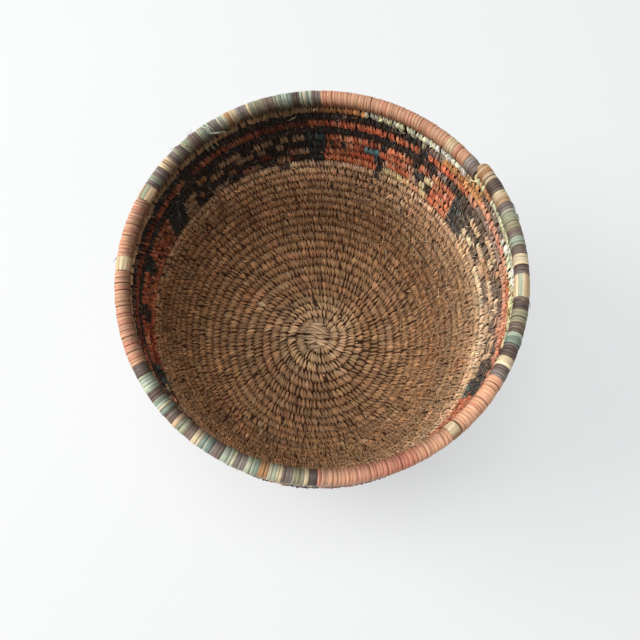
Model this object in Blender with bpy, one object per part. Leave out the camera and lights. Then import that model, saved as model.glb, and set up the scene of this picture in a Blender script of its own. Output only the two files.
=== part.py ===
"""A coiled bowl basket: one long grass bundle wound round and round, sewn to itself with splints.

The coil runs counter-clockwise, seen from above, from the middle of the floor to the rim.
A place on it is given by its turn, and each whole turn is one more row.
Lengths are in metres, +Z is up, and the basket stands on z = 0.
"""

import math

import bmesh
import bpy
import numpy as np
from mathutils import Vector
from mathutils.geometry import tessellate_polygon

# The sewn coil, which grows thicker towards the top
FLOOR_DIAMETER = 0.00515
WALL_DIAMETER = 0.00485
BAND_DIAMETER = 0.00505
TOP_DIAMETER = 0.00595
ROW_GAP = 0.00085
SEWING_THICKNESS = 0.00045
STANDING_FLAT_SHARE = 0.1
START_TAPER_SHARE = 0.4

# The rim
RIM_DIAMETER = 0.0078
WRAP_THICKNESS = 0.0007
PATCH_STEP = 0.0002
TIP_LENGTH = 0.0032

# How pieces meet
CLEARANCE = 0.0003
CUTTER_OVERRUN = 0.010

# The coil's diameter at some turns, and the wall's slope at some turns, in degrees from level:
# a domed floor, a round heel, and a wall that grows steep and leans in a little at the top
DIAMETER_TURNS = (0, 18, 24, 32)
DIAMETERS = (FLOOR_DIAMETER, WALL_DIAMETER, BAND_DIAMETER, TOP_DIAMETER)
SLOPE_TURNS = (0, 3, 6, 8, 10, 13, 16, 20, 24, 28, 32)
SLOPES = (-6, -22, -17, 14, 33, 51, 63, 71, 82, 87, 95)

# The hand-made basket is a little longer from front to back than from side to side,
# and its lower rows lie a little to the left of the rim and the floor's middle a little to the front
OVAL_SHARE = 0.017
SHIFT_TURNS = (0, 16, 28)
SIDE_SHIFTS = (-0.0005, -0.0042, 0)
FRONT_SHIFTS = (-0.0018, 0, 0)
RIM_RADIUS = RIM_DIAMETER / 2

# Each row starts at the step, and the rim starts a little further round, in degrees
STEP_ANGLE = 27
RIM_STEP_ANGLE = 33

# Where each length of the coil starts and ends, in turns. The spiral leaves the middle before turn 0
MIDDLE_TURN = -0.75
FIRST_TURN = -0.4
FULL_TURN = 0.45
HEEL_TURN = 9
WALL_TURN = 13
BAND_TURN = 23
PATTERN_ROWS = 4
RIM_TURN = 31 + (RIM_STEP_ANGLE - STEP_ANGLE) / 360
LAST_TURN = 33
TABLE_SIZE = 4000
STATIONS = 24
HEX_SIDES = 6
SHARP_ANGLE = math.radians(50)

# The pattern's fields round the wall, by the angle in degrees at which each one ends
PATTERN_FIELDS = (
    ("teal_block_1", "teal", 36),
    ("terracotta_panel_1", "terracotta", 88),
    ("teal_block_2", "teal", 94.5),
    ("dark_panel_1", "black", 146),
    ("teal_block_3", "teal", 154),
    ("terracotta_panel_2", "terracotta", 204),
    ("teal_block_4", "teal", 210),
    ("dark_panel_2", "black", 262),
    ("teal_block_5", "teal", 270),
    ("terracotta_panel_3", "terracotta", 325),
    ("teal_block_6", "teal", 333),
    ("dark_panel_3", "black", 387),
)

# The plain rows above the pattern, from the lowest
PLAIN_COURSES = (
    ("lower_black_course", "black"),
    ("terracotta_course", "terracotta"),
    ("upper_black_course", "black"),
    ("tan_course", "tan"),
)

# The rim's wrapping, by the angle in degrees at which each length ends
RIM_WRAPS = (
    ("rim_start_wrap", "brown", 38),
    ("terracotta_wrap_1", "terracotta", 90),
    ("striped_wrap_1", "sage", 153.6),
    ("splice_patch_1", "natural", 158.3),
    ("terracotta_wrap_2", "terracotta", 177),
    ("splice_patch_2", "natural", 181),
    ("terracotta_wrap_3", "terracotta", 209.3),
    ("striped_wrap_2", "sage", 268.7),
    ("terracotta_wrap_4", "terracotta", 305.8),
    ("splice_patch_3", "natural", 308.5),
    ("terracotta_wrap_5", "terracotta", 325.6),
    ("striped_wrap_3", "sage", 349.5),
    ("splice_patch_4", "natural", 356.8),
    ("striped_wrap_4", "sage", 393),
)

# Colour and roughness of each kind of splint
FINISHES = {
    "natural": ((0.42, 0.29, 0.17), 0.75),
    "tan": ((0.55, 0.40, 0.22), 0.7),
    "black": ((0.035, 0.030, 0.030), 0.7),
    "teal": ((0.03, 0.06, 0.07), 0.7),
    "terracotta": ((0.42, 0.17, 0.09), 0.65),
    "sage": ((0.27, 0.31, 0.22), 0.65),
    "brown": ((0.14, 0.10, 0.08), 0.65),
    "grass": ((0.45, 0.36, 0.20), 0.85),
}


def clear_scene():
    for obj in list(bpy.data.objects):
        bpy.data.objects.remove(obj)


def new_collection(name):
    collection = bpy.data.collections.new(name)
    bpy.context.scene.collection.children.link(collection)
    return collection


def finish(name):
    """The material of one kind of splint, made once."""
    material = bpy.data.materials.get(name)
    if material is None:
        colour, roughness = FINISHES[name]
        material = bpy.data.materials.new(name)
        material.use_nodes = True
        shader = material.node_tree.nodes["Principled BSDF"]
        shader.inputs["Base Color"].default_value = (*colour, 1)
        shader.inputs["Roughness"].default_value = roughness
        shader.inputs["Metallic"].default_value = 0
    return material


def radius_at(turn):
    """The sewn coil's radius at a turn."""
    return np.interp(turn, DIAMETER_TURNS, DIAMETERS) / 2


def wall_profile():
    """The wall as four matching rows of values, in small steps from the middle outwards.

    They are the turn, the length up the wall, and the radius and height of the coil's centre line.
    Each turn takes the coil's diameter and a gap of the wall's length, which runs at the wall's slope.
    """
    turns, step = np.linspace(MIDDLE_TURN, LAST_TURN, TABLE_SIZE, retstep=True)
    lengths = (2 * radius_at(turns) + ROW_GAP) * step
    slopes = np.radians(np.interp(turns, SLOPE_TURNS, SLOPES))
    along, radii, heights = (np.cumsum(lengths * part) for part in (1, np.cos(slopes), np.sin(slopes)))
    return turns, along, radii, heights


TURNS, ALONG, RADII, HEIGHTS = wall_profile()
LOWEST = HEIGHTS.argmin()
GROUND = HEIGHTS[LOWEST] - (1 - 2 * STANDING_FLAT_SHARE) * radius_at(TURNS[LOWEST])


def length_up(turn, rim=False):
    """How far up the wall a turn's centre line lies. The thicker rim turn rests on the turn below it."""
    below = turn - 1
    on_row_below = np.interp(below, TURNS, ALONG) + radius_at(below) + ROW_GAP + RIM_RADIUS
    return on_row_below if rim else np.interp(turn, TURNS, ALONG)


def slope_at(length):
    return np.radians(np.interp(np.interp(length, ALONG, TURNS), SLOPE_TURNS, SLOPES))


def angle_at(turn):
    return np.radians(STEP_ANGLE) + 2 * np.pi * turn


def turn_at(first_turn, first_angle, degrees):
    """The turn at which a row that starts at a turn and an angle has come round to another angle."""
    return first_turn + (degrees - first_angle) / 360


def spiral_point(turn, rim):
    """The coil's centre line, exactly on its spiral."""
    length = length_up(turn, rim)
    radius = np.interp(length, ALONG, RADII)
    height = np.interp(length, ALONG, HEIGHTS) - GROUND
    angle = angle_at(turn)
    across = (1 - OVAL_SHARE) * radius * np.cos(angle) + np.interp(turn, SHIFT_TURNS, SIDE_SHIFTS)
    back = (1 + OVAL_SHARE) * radius * np.sin(angle) + np.interp(turn, SHIFT_TURNS, FRONT_SHIFTS)
    return np.stack([across, back, height], axis=-1)


def chord_point(turn, rim=False):
    """The centre line on the straight chords between stations, which every tube and sleeve follows alike."""
    place = np.asarray(turn) * STATIONS - 0.5
    before = np.floor(place)
    along = (place - before)[..., None]
    here = spiral_point((before + 0.5) / STATIONS, rim)
    there = spiral_point((before + 1.5) / STATIONS, rim)
    return (1 - along) * here + along * there


def turns_between(first, last):
    """Both ends and every station between them."""
    stations = (np.arange(math.floor(first * STATIONS), last * STATIONS) + 0.5) / STATIONS
    inner = stations[(stations > first) & (stations < last)]
    return np.concatenate([[first], inner, [last]])


def length_in_turns(length, turn):
    """A length along the coil as a part of a turn."""
    return length / (2 * np.pi * np.interp(turn, TURNS, RADII))


def link(name, data, colour, collection):
    obj = bpy.data.objects.new(name, data)
    collection.objects.link(obj)
    data.materials.append(finish(colour))
    return obj


def tube(name, colour, points, radii, collection):
    """A round bundle along a line of points, as a bevelled curve with closed ends."""
    curve = bpy.data.curves.new(name, "CURVE")
    curve.dimensions = "3D"
    curve.bevel_depth = radii.max()
    curve.bevel_resolution = 1
    curve.use_fill_caps = True
    spline = curve.splines.new("POLY")
    spline.points.add(len(points) - 1)
    for point, place, radius in zip(spline.points, points, radii):
        point.co = (*place, 1)
        point.radius = radius / radii.max()
    spline.use_smooth = True
    return link(name, curve, colour, collection)


def hexagon_places(turn, radius, rim, corners):
    """Corners of the hexagonal section at one turn, in the upright plane through the basket's axis."""
    slope = slope_at(length_up(turn, rim))
    angle = angle_at(turn)
    outward = np.array([np.cos(angle), np.sin(angle), 0])
    up = np.array([0, 0, 1])
    normal = np.sin(slope) * outward - np.cos(slope) * up
    along_wall = np.cos(slope) * outward + np.sin(slope) * up
    around = 2 * np.pi * corners / HEX_SIDES
    centre = chord_point(turn, rim)
    return centre + radius * (np.outer(np.cos(around), normal) + np.outer(np.sin(around), along_wall))


def sewing(name, colour, first, last, rows, outer_at, thickness, collection, rim=False):
    """The sewing over some neighbouring rows between two turns of the lowest one.

    Its outline follows the outside of the stacked bundles, and each bundle keeps a bore of its own.
    outer_at gives the outer radius at a turn.
    A single row turns a corner of its hexagon to its neighbours, and stacked rows are joined side to side.
    """
    turned = 0.5 if rows == 1 else 0
    outer_corners = np.array((-1, 0, 1)) + turned
    inner_corners = np.array((2, 3, 4)) + turned
    bore_corners = np.arange(HEX_SIDES) + turned
    low = first + length_in_turns(CLEARANCE / 2, first)
    high = last - length_in_turns(CLEARANCE / 2, last)
    sections = []
    for turn in turns_between(low, high):
        stack = turn + np.arange(rows)
        outside = [hexagon_places(row, outer_at(row), rim, outer_corners) for row in stack]
        inside = [hexagon_places(row, outer_at(row), rim, inner_corners) for row in stack[::-1]]
        bores = [hexagon_places(row, outer_at(row) - thickness, rim, bore_corners) for row in stack]
        sections.append([np.concatenate(outside + inside), *bores])
    body = bmesh.new()
    made = [[[body.verts.new(place) for place in loop] for loop in section] for section in sections]
    for here, there in zip(made, made[1:]):
        for loop, next_loop in zip(here, there):
            for index in range(len(loop)):
                after = (index + 1) % len(loop)
                body.faces.new((loop[index], loop[after], next_loop[after], next_loop[index]))
    for section, loops in ((sections[0], made[0]), (sections[-1], made[-1])):
        corners = [corner for loop in loops for corner in loop]
        for triangle in tessellate_polygon([[tuple(place) for place in loop] for loop in section]):
            body.faces.new([corners[index] for index in triangle])
    bmesh.ops.recalc_face_normals(body, faces=body.faces)
    mesh = bpy.data.meshes.new(name)
    body.to_mesh(mesh)
    body.free()
    mesh.shade_smooth()
    mesh.set_sharp_from_angle(angle=SHARP_ANGLE)
    return link(name, mesh, colour, collection)


def cut_standing_flat(coil, cutters):
    """Turns the floor coil into a mesh and cuts it level where it stands."""
    graph = bpy.context.evaluated_depsgraph_get()
    mesh = bpy.data.meshes.new_from_object(coil.evaluated_get(graph))
    welded = bmesh.new()
    welded.from_mesh(mesh)
    bmesh.ops.remove_doubles(welded, verts=welded.verts, dist=CLEARANCE / 100)
    bmesh.ops.recalc_face_normals(welded, faces=welded.faces)
    welded.to_mesh(mesh)
    welded.free()
    mesh.materials.clear()
    name = coil.name
    collection = coil.users_collection[0]
    bpy.data.objects.remove(coil)
    floor = link(name, mesh, "natural", collection)
    box = bmesh.new()
    bmesh.ops.create_cube(box, size=1)
    bmesh.ops.scale(box, vec=(2 * RADII[-1], 2 * RADII[-1], CUTTER_OVERRUN), verts=box.verts)
    bmesh.ops.translate(box, vec=(0, 0, -CUTTER_OVERRUN / 2), verts=box.verts)
    box_mesh = bpy.data.meshes.new("ground_cutter")
    box.to_mesh(box_mesh)
    box.free()
    cutter = bpy.data.objects.new("ground_cutter", box_mesh)
    cutters.objects.link(cutter)
    cutter.hide_render = True
    cutter.display_type = "WIRE"
    cut = floor.modifiers.new("standing_flat", "BOOLEAN")
    cut.operation = "DIFFERENCE"
    cut.object = cutter


def least_gap(points, radii):
    """The least clear distance between a tube and itself, between places at least half a turn apart."""
    least = math.inf
    apart = STATIONS // 2
    for index in range(len(points) - apart):
        distances = np.linalg.norm(points[index + apart:] - points[index], axis=1)
        least = min(least, (distances - radii[index + apart:] - radii[index]).min())
    return least


def coil_length(name, colour, first, last, radius_of, collection, rim=False):
    """One unbroken length of the coil, whose least gap to itself is printed. radius_of takes turns."""
    low = first + length_in_turns(CLEARANCE / 2, first)
    high = last - length_in_turns(CLEARANCE / 2, last)
    turns = turns_between(low, high)
    points = chord_point(turns, rim)
    radii = radius_of(turns)
    clear = least_gap(points, radii)
    print(f"{name}: {high - low:.1f} turns, least gap to itself {clear * 1000:.2f} mm")
    return tube(name, colour, points, radii, collection)


def tapered_radius(turns):
    """The bundle starts thin and is full after the first turn."""
    grown = (turns - FIRST_TURN) / (FULL_TURN - FIRST_TURN)
    return radius_at(turns) * (START_TAPER_SHARE + (1 - START_TAPER_SHARE) * np.clip(grown, 0, 1))


def bundle_radius(outer, thickness):
    """The bundle that clears the flats of a hexagonal sleeve's bore."""
    return (outer - thickness) * math.cos(math.pi / HEX_SIDES) - CLEARANCE


def make_natural_coil(collection, cutters):
    floor = coil_length("floor_coil", "natural", FIRST_TURN, HEEL_TURN, tapered_radius, collection)
    cut_standing_flat(floor, cutters)
    coil_length("heel_coil", "natural", HEEL_TURN, WALL_TURN, radius_at, collection)
    coil_length("wall_coil", "natural", WALL_TURN, BAND_TURN, radius_at, collection)


def make_band(collection):
    def core_radius(turns):
        return bundle_radius(radius_at(turns), SEWING_THICKNESS)

    coil_length("band_foundation", "grass", BAND_TURN, RIM_TURN, core_radius, collection)
    start = STEP_ANGLE
    for name, colour, end in PATTERN_FIELDS:
        first = turn_at(BAND_TURN, STEP_ANGLE, start)
        last = turn_at(BAND_TURN, STEP_ANGLE, end)
        sewing(name, colour, first, last, PATTERN_ROWS, radius_at, SEWING_THICKNESS, collection)
        start = end
    lowest = BAND_TURN + PATTERN_ROWS
    starts = (*range(lowest, lowest + len(PLAIN_COURSES)), RIM_TURN)
    for (name, colour), first, last in zip(PLAIN_COURSES, starts, starts[1:]):
        sewing(name, colour, first, last, 1, radius_at, SEWING_THICKNESS, collection)


def make_rim_tip(turn, collection):
    """The coil's rounded end: half a ball stretched along the rim, with its flat side on the rim's end."""
    ball = bmesh.new()
    bmesh.ops.create_uvsphere(ball, u_segments=12, v_segments=8, radius=1)
    faces = ball.verts[:] + ball.edges[:] + ball.faces[:]
    bmesh.ops.bisect_plane(ball, geom=faces, plane_co=(0, 0, 0), plane_no=(0, 0, 1), clear_inner=True)
    bmesh.ops.holes_fill(ball, edges=[edge for edge in ball.edges if edge.is_boundary])
    bmesh.ops.scale(ball, vec=(RIM_RADIUS, RIM_RADIUS, TIP_LENGTH), verts=ball.verts)
    bmesh.ops.recalc_face_normals(ball, faces=ball.faces)
    mesh = bpy.data.meshes.new("rim_tip")
    ball.to_mesh(mesh)
    ball.free()
    mesh.shade_smooth()
    mesh.set_sharp_from_angle(angle=SHARP_ANGLE)
    tip = link("rim_tip", mesh, "tan", collection)
    start = turn + length_in_turns(CLEARANCE / 2, turn)
    place = chord_point(start, rim=True)
    ahead = chord_point(start + length_in_turns(CLEARANCE, turn), rim=True) - place
    tip.location = place
    tip.rotation_euler = Vector(ahead).to_track_quat("Z", "Y").to_euler()


def make_rim(collection):
    def core_radius(turns):
        return np.full(len(turns), bundle_radius(RIM_RADIUS, WRAP_THICKNESS))

    def wrap_radius(turn):
        return RIM_RADIUS

    def patch_radius(turn):
        return RIM_RADIUS - PATCH_STEP

    tip_turn = RIM_TURN + 1 - length_in_turns(TIP_LENGTH + CLEARANCE, RIM_TURN)
    coil_length("rim_core", "grass", RIM_TURN, tip_turn, core_radius, collection, rim=True)
    start = RIM_STEP_ANGLE
    for name, colour, end in RIM_WRAPS:
        outer_at = patch_radius if colour == "natural" else wrap_radius
        thickness = WRAP_THICKNESS - (RIM_RADIUS - outer_at(start))
        first = turn_at(RIM_TURN, RIM_STEP_ANGLE, start)
        last = min(turn_at(RIM_TURN, RIM_STEP_ANGLE, end), tip_turn)
        sewing(name, colour, first, last, 1, outer_at, thickness, collection, rim=True)
        start = end
    make_rim_tip(tip_turn, collection)


def main():
    clear_scene()
    basket = new_collection("coiled_basket")
    cutters = new_collection("cutters")
    make_natural_coil(basket, cutters)
    make_band(basket)
    make_rim(basket)


main()
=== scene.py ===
# %% [markdown]
# # A coiled basket
# A coiled basket is one long rope of dry grass, wound round and round. Each new row is sewn to the row
# below it with a flat splint of palm leaf, and dyed splints draw the pattern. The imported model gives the
# true sizes. Everything made here is its fine surface: nearly six thousand stitches, one by one.

import bpy
import numpy as np
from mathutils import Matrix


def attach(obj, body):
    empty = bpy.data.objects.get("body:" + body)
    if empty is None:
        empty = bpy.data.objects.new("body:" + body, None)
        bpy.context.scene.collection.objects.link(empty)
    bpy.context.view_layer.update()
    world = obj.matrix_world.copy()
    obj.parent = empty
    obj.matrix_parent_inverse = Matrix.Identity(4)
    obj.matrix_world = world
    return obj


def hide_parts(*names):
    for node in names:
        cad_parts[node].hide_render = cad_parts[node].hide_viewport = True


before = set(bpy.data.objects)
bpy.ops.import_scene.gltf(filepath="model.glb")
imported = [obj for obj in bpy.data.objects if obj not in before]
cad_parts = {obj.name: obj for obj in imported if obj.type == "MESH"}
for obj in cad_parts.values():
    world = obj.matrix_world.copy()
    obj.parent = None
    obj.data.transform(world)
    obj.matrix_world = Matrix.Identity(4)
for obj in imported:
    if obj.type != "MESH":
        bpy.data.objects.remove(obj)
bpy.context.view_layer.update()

chance = np.random.default_rng(7)

# %% [markdown]
# ## The path of the coil
# A place on the basket is given by its turn, counted from the middle: turn 12.5 is half way round the
# thirteenth row. The wall's slope and the coil's thickness are given at a few turns, and small steps
# along the wall add up to a smooth spiral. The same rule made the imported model, so every stitch lands on
# it.

# %% The coil's sizes
ROW_GAP = 0.00085
RIM_RADIUS = 0.0039
STANDING_FLAT_SHARE = 0.1
DIAMETER_TURNS = (0, 18, 24, 32)
DIAMETERS = (0.00515, 0.00485, 0.00505, 0.00595)
SLOPE_TURNS = (0, 3, 6, 8, 10, 13, 16, 20, 24, 28, 32)
SLOPES = (-6, -22, -17, 14, 33, 51, 63, 71, 82, 87, 95)
OVAL_SHARE = 0.017
SHIFT_TURNS = (0, 16, 28)
SIDE_SHIFTS = (-0.0005, -0.0042, 0)
FRONT_SHIFTS = (-0.0018, 0, 0)
MIDDLE_TURN, HEEL_TURN, WALL_TURN, BAND_TURN, LAST_TURN = -0.75, 9, 13, 23, 33
STEP_ANGLE, RIM_STEP_ANGLE, RIM_END_ANGLE = 27, 33, 391
RIM_TURN = 31 + (RIM_STEP_ANGLE - STEP_ANGLE) / 360


# %% The wall's profile
def coil_radius(turn):
    """Half the sewn coil's thickness at a turn."""
    return np.interp(turn, DIAMETER_TURNS, DIAMETERS) / 2


TURNS = np.linspace(MIDDLE_TURN, LAST_TURN, 4000)
STEPS = (2 * coil_radius(TURNS) + ROW_GAP) * (TURNS[1] - TURNS[0])
TILTS = np.radians(np.interp(TURNS, SLOPE_TURNS, SLOPES))
ALONG = np.cumsum(STEPS)
RADII = np.cumsum(STEPS * np.cos(TILTS))
HEIGHTS = np.cumsum(STEPS * np.sin(TILTS))
LOWEST = HEIGHTS.argmin()
GROUND = HEIGHTS[LOWEST] - (1 - 2 * STANDING_FLAT_SHARE) * coil_radius(TURNS[LOWEST])
print(f"the wall is {ALONG[-1]:.3f} m long from the middle to the rim")


# %% A place on the coil
WAVER = 0.00013
# Waves in a round, and how many radians they shift from row to row
WAVES = ((7, 0.9), (19, -0.7), (41, 1.3))


def waver(turn):
    """How far a hand-made row strays: three waves round the basket, which shift from row to row.

    The floor's middle and the rows under the rim run true.
    """
    waves = sum(np.sin((2 * np.pi * count + shift) * turn) for count, shift in WAVES)
    return WAVER * waves * np.clip(turn / 4, 0, 1) * np.clip((RIM_TURN - turn) / 2, 0, 1)


def wall_length(turn, rim=False):
    """How far up the wall a turn lies. The thicker rim turn rests on the turn below it."""
    below = turn - 1
    on_row_below = np.interp(below, TURNS, ALONG) + coil_radius(below) + ROW_GAP + RIM_RADIUS
    return on_row_below if rim else np.interp(turn, TURNS, ALONG) + waver(turn)


def wall_place(turn, angle, rim=False):
    """A place as high up the wall as a turn lies, at any angle: a radius and a height from the profile."""
    length = wall_length(turn, rim)
    radius = np.interp(length, ALONG, RADII)
    height = np.interp(length, ALONG, HEIGHTS) - GROUND
    across = (1 - OVAL_SHARE) * radius * np.cos(angle) + np.interp(turn, SHIFT_TURNS, SIDE_SHIFTS)
    back = (1 + OVAL_SHARE) * radius * np.sin(angle) + np.interp(turn, SHIFT_TURNS, FRONT_SHIFTS)
    return np.stack([across, back, height], axis=-1)


def angle_of(turn):
    return np.radians(STEP_ANGLE) + 2 * np.pi * turn


def coil_centre(turn, rim=False):
    """The coil's centre line, where the angle follows from the turn."""
    return wall_place(turn, angle_of(turn), rim)


def wall_directions(turn, angle, rim=False):
    """Out of the wall, which is the slope's sine outwards less its cosine upwards, and up the wall."""
    slope = np.interp(wall_length(turn, rim), ALONG, TILTS)[..., None]
    outward = np.stack([np.cos(angle), np.sin(angle), 0 * angle], axis=-1)
    upward = np.array([0, 0, 1.0])
    out_of_wall = np.sin(slope) * outward - np.cos(slope) * upward
    return out_of_wall, np.cos(slope) * outward + np.sin(slope) * upward


SMALL_TURN = 0.0005


def coil_frame(turn, rim=False):
    """The centre at each turn with three directions: out of the wall, up the wall and along the coil."""
    out_of_wall, up_wall = wall_directions(turn, angle_of(turn), rim)
    forward = coil_centre(turn + SMALL_TURN, rim) - coil_centre(turn - SMALL_TURN, rim)
    forward /= np.linalg.norm(forward, axis=-1, keepdims=True)
    return coil_centre(turn, rim), out_of_wall, up_wall, forward


def row_step(turn):
    """The distance from a place on the coil to the row above it, which differs round the hand-made oval."""
    return np.linalg.norm(coil_centre(turn + 1) - coil_centre(turn), axis=-1)


# %% [markdown]
# ## Straps as grids
# A splint is a flat strap, and its surface is a grid: stations along it, and four corners round its
# section, two low edges and two raised shoulders. All straps of a piece are one array, whose axes are
# strap, station and corner, and one function turns it into a mesh.

# %% From a grid of straps to a mesh
WORN_FLAT = 0.00015


def standing(places):
    """Presses what would reach below the ground flat on it, by the smooth step s·log(1 + e^(z/s))."""
    places[..., 2] = WORN_FLAT * np.logaddexp(0, places[..., 2] / WORN_FLAT)
    return places


def strap_quads(count, stations, corners, ring):
    """Each quad's corners as strap, station and corner numbers, before they wrap round."""
    spans = stations if ring else stations - 1
    numbers = (np.arange(count), np.arange(spans), np.arange(corners))
    strap, station, corner = np.meshgrid(*numbers, indexing="ij")
    stations_of = np.stack([station, station + 1, station + 1, station], axis=-1)
    corners_of = np.stack([corner, corner, corner + 1, corner + 1], axis=-1)
    return np.broadcast_to(strap[..., None], stations_of.shape), stations_of, corners_of


def end_quads(count, stations, corners):
    """The quads that close both ends of an open strap, as a fan from its first corner."""
    fan = 2 * np.arange(corners // 2 - 1)[:, None] + (0, 1, 2, 3)
    fan[:, 0] = 0
    both = np.concatenate([fan, fan[:, ::-1]])
    strap = np.repeat(np.arange(count), len(both))[:, None] + np.zeros(4, int)
    station = np.repeat((0, stations - 1), len(fan))[:, None] + np.zeros(4, int)
    return strap, np.tile(station, (count, 1)), np.tile(both, (count, 1))


def added_up(places, axis):
    """The length walked from place to place along an axis, from nought. Across a strap it is a mean."""
    steps = np.linalg.norm(np.roll(places, -1, axis=axis) - places, axis=-1)
    steps = steps.mean(axis=1) if axis == 2 else steps
    return np.concatenate([np.zeros((len(steps), 1)), np.cumsum(steps, axis=1)], axis=1)


def strap_piece(name, places, colours, slot, nodes=(), ring=True, dirt_and_shade=0.0):
    """Makes one piece of many straps. places has the axes strap, station, corner and x, y, z.

    The UV map is in metres: the length from station to station along the strap, and from corner to corner
    across it, both moved by a random amount so that no two straps look alike.
    """
    count, stations, corners, _ = places.shape
    groups = [strap_quads(count, stations, corners, ring)]
    if not ring:
        groups.append(end_quads(count, stations, corners))
    quads = [np.concatenate([part.reshape(-1, 4) for part in parts]) for parts in zip(*groups)]
    strap, station, corner = quads
    numbers = (strap * stations + station % stations) * corners + corner % corners
    flat = places.reshape(-1, 3)
    first, second, third = flat[numbers[:, :3].T]
    volume = np.einsum("ij,ij->i", first - flat.mean(0), np.cross(second - first, third - first)).sum()
    lengths = added_up(places.mean(axis=2), 1)
    widths = added_up(places, 2)
    shift = chance.uniform(0, 1, (2, count))
    along = lengths[strap, station] + shift[0][strap]
    across = widths[strap, corner] + shift[1][strap]
    mapping = np.stack([along, across], axis=-1)
    if volume < 0:
        numbers, mapping = numbers[:, ::-1], mapping[:, ::-1]
    mesh = bpy.data.meshes.new(name)
    mesh.from_pydata(flat, [], numbers)
    mesh.uv_layers.new(name="fibre").data.foreach_set("uv", mapping.ravel())
    tint = np.broadcast_to(colours.reshape(count, -1, 1, 3), (count, stations, corners, 3))
    tint = np.concatenate([tint, np.ones((count, stations, corners, 1))], axis=-1)
    mesh.attributes.new("dye", "FLOAT_COLOR", "POINT").data.foreach_set("color", tint.ravel())
    # How far each point is darkened in recesses, partly dirt and partly painted shade
    depth = np.broadcast_to(dirt_and_shade, (count, stations, corners))
    mesh.attributes.new("dirt_and_shade", "FLOAT", "POINT").data.foreach_set("value", depth.ravel())
    mesh.shade_smooth()
    mesh.materials.append(MATERIALS[slot])
    piece = bpy.data.objects.new(name, mesh)
    bpy.context.scene.collection.objects.link(piece)
    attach(piece, "root")
    if nodes:
        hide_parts(*nodes)
    print(f"{name}: {len(mesh.polygons)} faces")


# %% [markdown]
# ## Finishes
# Fine fibres run along every splint. They come from a noise that is stretched along the strap's own UV
# map. The dye is an attribute, so one material serves all splints of a kind. Where a stitch dives between
# its neighbours, which an attribute marks, it is darkened: partly dirt, partly painted shade. A broad
# noise in the basket's own space fades it all.

# %% Colours
def paint(code):
    """A colour from its six-figure screen code, as the linear values that a shader takes."""
    levels = np.array([int(code[place:place + 2], 16) for place in (0, 2, 4)]) / 255
    return np.where(levels > 0.04045, ((levels + 0.055) / 1.055) ** 2.4, levels / 12.92)


# The colour that recesses are darkened towards: partly dirt, partly painted shade
DIRT_AND_SHADE_COLOUR = (*paint("2b160b"), 1)
SUN_FADED = (*paint("a58a66"), 1)


# %% Shader nodes
def join(tree, node, inputs):
    """Joins a node's inputs to sockets, or sets them to plain values."""
    for name, value in inputs.items():
        if isinstance(value, bpy.types.NodeSocket):
            tree.links.new(value, node.inputs[name])
        else:
            node.inputs[name].default_value = value


def add(tree, kind, output, inputs=None, **settings):
    """Adds a node with its settings and inputs, and returns one of its outputs."""
    node = tree.nodes.new(f"ShaderNode{kind}")
    for setting, value in settings.items():
        setattr(node, setting, value)
    join(tree, node, inputs or {})
    return node.outputs[output]


def noise(tree, vector, scale, detail, distortion=0.0):
    inputs = {"Vector": vector, "Scale": scale, "Detail": detail, "Distortion": distortion}
    return add(tree, "TexNoise", "Fac", inputs)


def ranged(tree, value, low, high, from_low=0.3, from_high=0.7):
    inputs = {"Value": value, "From Min": from_low, "From Max": from_high, "To Min": low, "To Max": high}
    return add(tree, "MapRange", "Result", inputs)


def mixed(tree, kind, factor, first, second):
    """Mixes two colours. The node has inputs for numbers and vectors too, so colours are its 6 and 7."""
    return add(tree, "Mix", 2, {0: factor, 6: first, 7: second}, data_type="RGBA", blend_type=kind)


def new_material(name):
    material = bpy.data.materials.new(name)
    material.use_nodes = True
    return material, material.node_tree, material.node_tree.nodes["Principled BSDF"]


# %% The splint material
def leaf_material(name, roughness, dirt_and_shade_strength, fade, fibres=(90, 2600, 1), bump=0.35):
    """Dry leaf: streaked along its fibres, darkened in its recesses by dirt and painted shade, unevenly
    faded, with raised fibres.
    """
    material, tree, shader = new_material(name)
    dye = add(tree, "Attribute", "Color", attribute_name="dye")
    dirt_and_shade = add(tree, "Attribute", "Fac", attribute_name="dirt_and_shade")
    strap_place = add(tree, "Mapping", "Vector", {"Vector": add(tree, "TexCoord", "UV"), "Scale": fibres})
    room_place = add(tree, "TexCoord", "Object")
    fibre = noise(tree, strap_place, 1, 4, 0.6)
    broad = noise(tree, room_place, 38, 4)
    fine = noise(tree, room_place, 420, 3)
    colour = mixed(tree, "MULTIPLY", 1.0, dye, ranged(tree, fibre, 0.62, 1.34))
    colour = mixed(tree, "MIX", ranged(tree, broad, 0, fade, 0.5, 0.75), colour, SUN_FADED)
    patchy = ranged(tree, fine, dirt_and_shade_strength * 0.55, dirt_and_shade_strength)
    # Recesses are mixed towards the dark colour: partly dirt, partly painted shade
    dirt_and_shade_share = add(tree, "Math", "Value", {0: dirt_and_shade, 1: patchy}, operation="MULTIPLY")
    join(tree, shader, {
        "Base Color": mixed(tree, "MIX", dirt_and_shade_share, colour, DIRT_AND_SHADE_COLOUR),
        "Roughness": ranged(tree, fibre, roughness + 0.12, roughness - 0.1),
        "Specular IOR Level": 0.35,
        "Normal": add(tree, "Bump", "Normal", {"Strength": bump, "Distance": 0.0003, "Height": fibre}),
    })
    return material


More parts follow.
